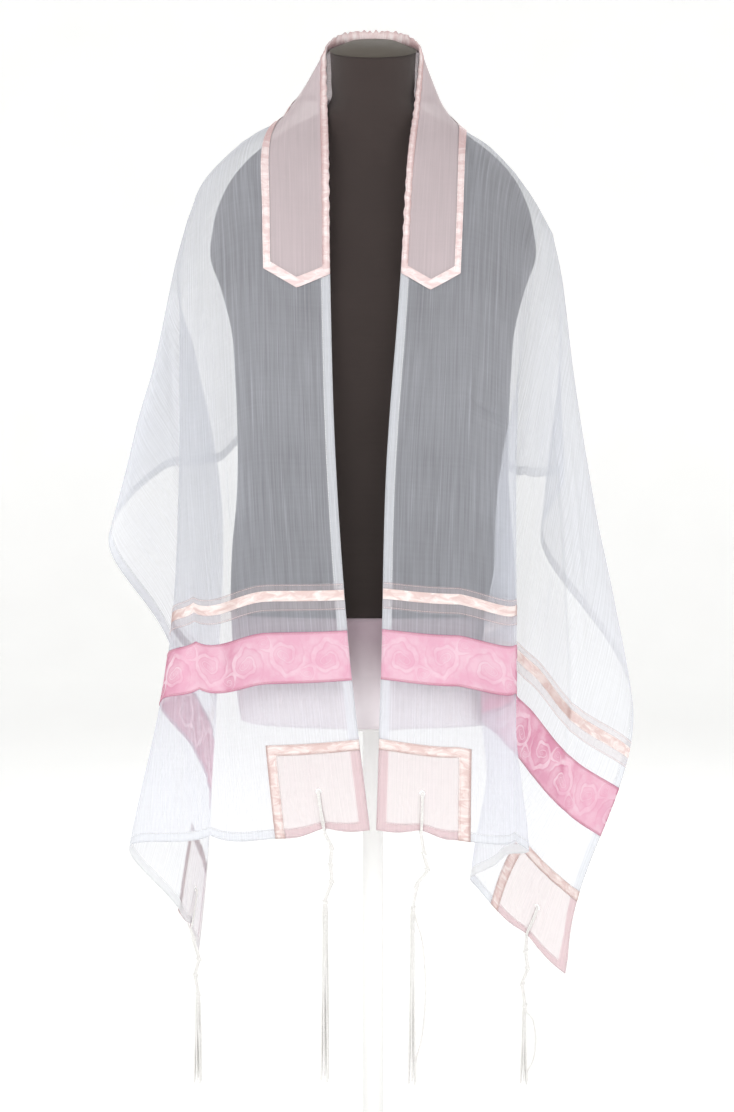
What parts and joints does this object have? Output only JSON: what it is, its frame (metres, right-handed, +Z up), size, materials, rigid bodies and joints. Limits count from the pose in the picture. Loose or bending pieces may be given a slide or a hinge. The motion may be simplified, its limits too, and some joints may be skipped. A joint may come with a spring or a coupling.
{
  "type": "tallit prayer shawl on a limbless dress form",
  "caption": "Sheer organza prayer shawl with a pointed neckband, ribbon and jacquard bands, corner squares and knotted tassels, draped open over a dress form on a round-based stand.",
  "frame": {"origin": "centre of the stand base's underside, on the floor", "axes": "+Z up along the pole, -Y to the front of the dress form, +X to the right as seen from the front"},
  "size_m": [0.6221, 0.312, 1.3051],
  "materials": {
    "organza": "sheer off-white woven organza",
    "neckband_organza": "two layers of sheer organza",
    "ribbon_satin": "soft pink satin ribbon",
    "jacquard_satin": "pink satin jacquard with a woven scroll",
    "string_cotton": "twisted off-white cotton string",
    "dark_jersey": "dark stretch jersey cover",
    "mauve_jersey": "mauve-grey stretch jersey cover",
    "cap_cloth": "dark grey woven cap cover",
    "powder_coated_steel": "white powder-coated steel"
  },
  "bodies": {
    "root": {"atara_panel": "neckband_organza", "atara_ribbon": "ribbon_satin", "corner_front_left": "organza", "corner_front_right": "organza", "corner_rear_left": "organza", "corner_rear_right": "organza", "corner_ribbon_front_left": "ribbon_satin", "corner_ribbon_front_right": "ribbon_satin", "corner_ribbon_rear_left": "ribbon_satin", "corner_ribbon_rear_right": "ribbon_satin", "form_hips": "mauve_jersey", "form_torso": "dark_jersey", "narrow_ribbon_left": "ribbon_satin", "narrow_ribbon_right": "ribbon_satin", "neck_cap": "cap_cloth", "shawl_panel": "organza", "stand_base": "powder_coated_steel", "stand_pole": "powder_coated_steel", "tzitzit_front_left": "string_cotton", "tzitzit_front_right": "string_cotton", "tzitzit_rear_left": "string_cotton", "tzitzit_rear_right": "string_cotton", "wide_band_left": "jacquard_satin", "wide_band_right": "jacquard_satin"}
  },
  "joints": []
}
